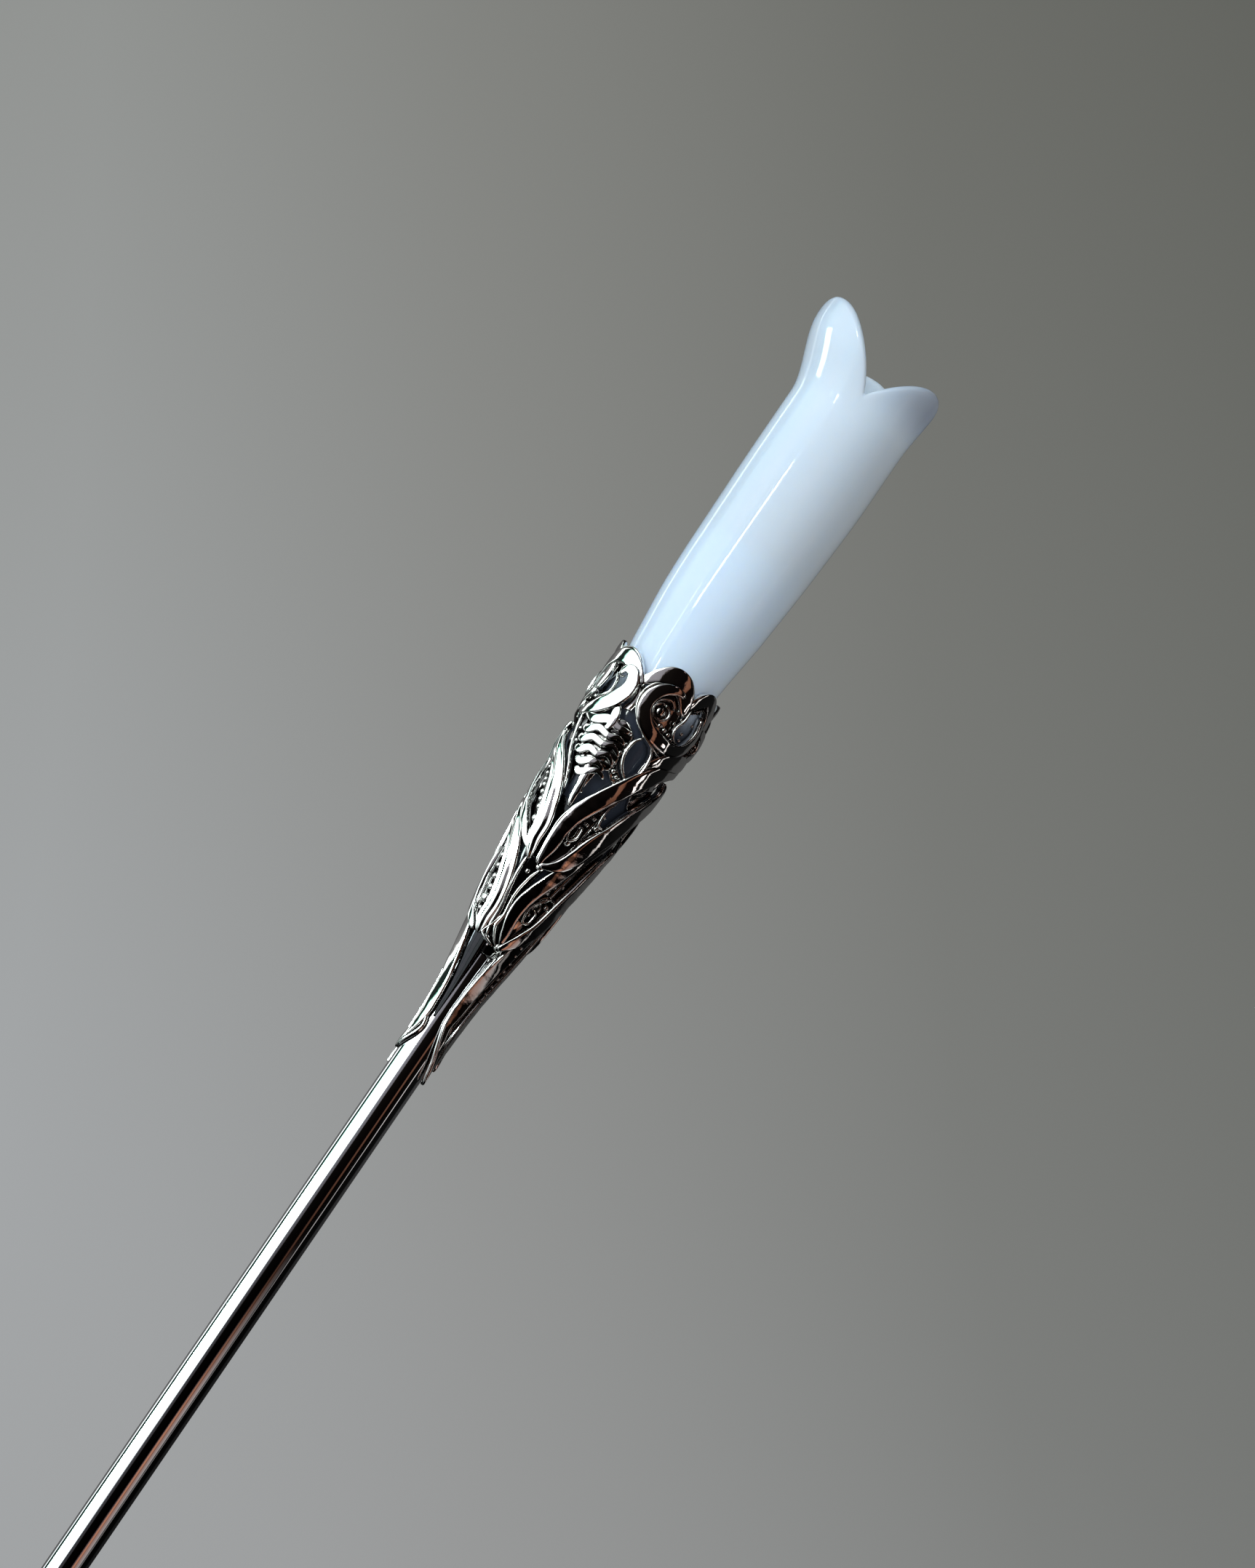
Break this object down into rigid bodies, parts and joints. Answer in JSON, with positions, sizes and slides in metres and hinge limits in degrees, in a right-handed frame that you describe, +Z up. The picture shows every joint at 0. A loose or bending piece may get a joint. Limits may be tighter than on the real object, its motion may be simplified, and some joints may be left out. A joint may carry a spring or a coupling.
{
  "type": "dip pen",
  "caption": "Slim plated dip pen with a pointed steel nib, a round rod, an openwork leaf calyx and a tubular opal glass flower on top.",
  "frame": {"origin": "the nib's point, on the rod's axis, at the lowest end of the pen", "axes": "+Z runs up the rod from the nib's point to the petals; -Y is the front, where the two petals part and the leaves meet in a V"},
  "size_m": [0.0144, 0.0135, 0.19],
  "materials": {
    "polished_rod": "mirror polished plate",
    "cast_plate": "bright plated casting with darker recesses",
    "nib_steel": "pressed and lightly brushed",
    "spring_steel": "tempered spring strip",
    "peg_steel": "plain wire",
    "opal_glass": "glossy milk-white opal glass",
    "cement": "set resin cement"
  },
  "bodies": {
    "holder": {"shaft": "polished_rod", "reducer": "polished_rod", "grip_ring": "polished_rod", "ferrule": "polished_rod", "nib_clip": "spring_steel", "flower": "opal_glass", "flower_peg": "peg_steel", "peg_cement": "cement", "calyx_cup": "cast_plate", "rim_scroll_front": "cast_plate", "rim_scroll_back": "cast_plate", "volute_lobe_front": "cast_plate", "volute_lobe_back": "cast_plate", "tall_lobe_front": "cast_plate", "tall_lobe_back": "cast_plate", "rim_band_front": "cast_plate", "rim_band_back": "cast_plate", "acanthus_front": "cast_plate", "acanthus_back": "cast_plate", "upper_leaf_left_front": "cast_plate", "upper_leaf_right_front": "cast_plate", "upper_leaf_left_back": "cast_plate", "upper_leaf_right_back": "cast_plate", "lower_leaf_left_front": "cast_plate", "lower_leaf_right_front": "cast_plate", "lower_leaf_left_back": "cast_plate", "lower_leaf_right_back": "cast_plate", "tongue_left_front": "cast_plate", "tongue_right_front": "cast_plate", "tongue_left_back": "cast_plate", "tongue_right_back": "cast_plate", "volute_eyes": "cast_plate", "leaf_beads": "cast_plate", "tip_beads": "cast_plate"},
    "nib": {"nib": "nib_steel"}
  },
  "joints": [
    {"name": "nib_slide", "type": "slide", "parent": "holder", "child": "nib", "axis": [0, 0, -1], "range_m": [0, 0.012]}
  ]
}
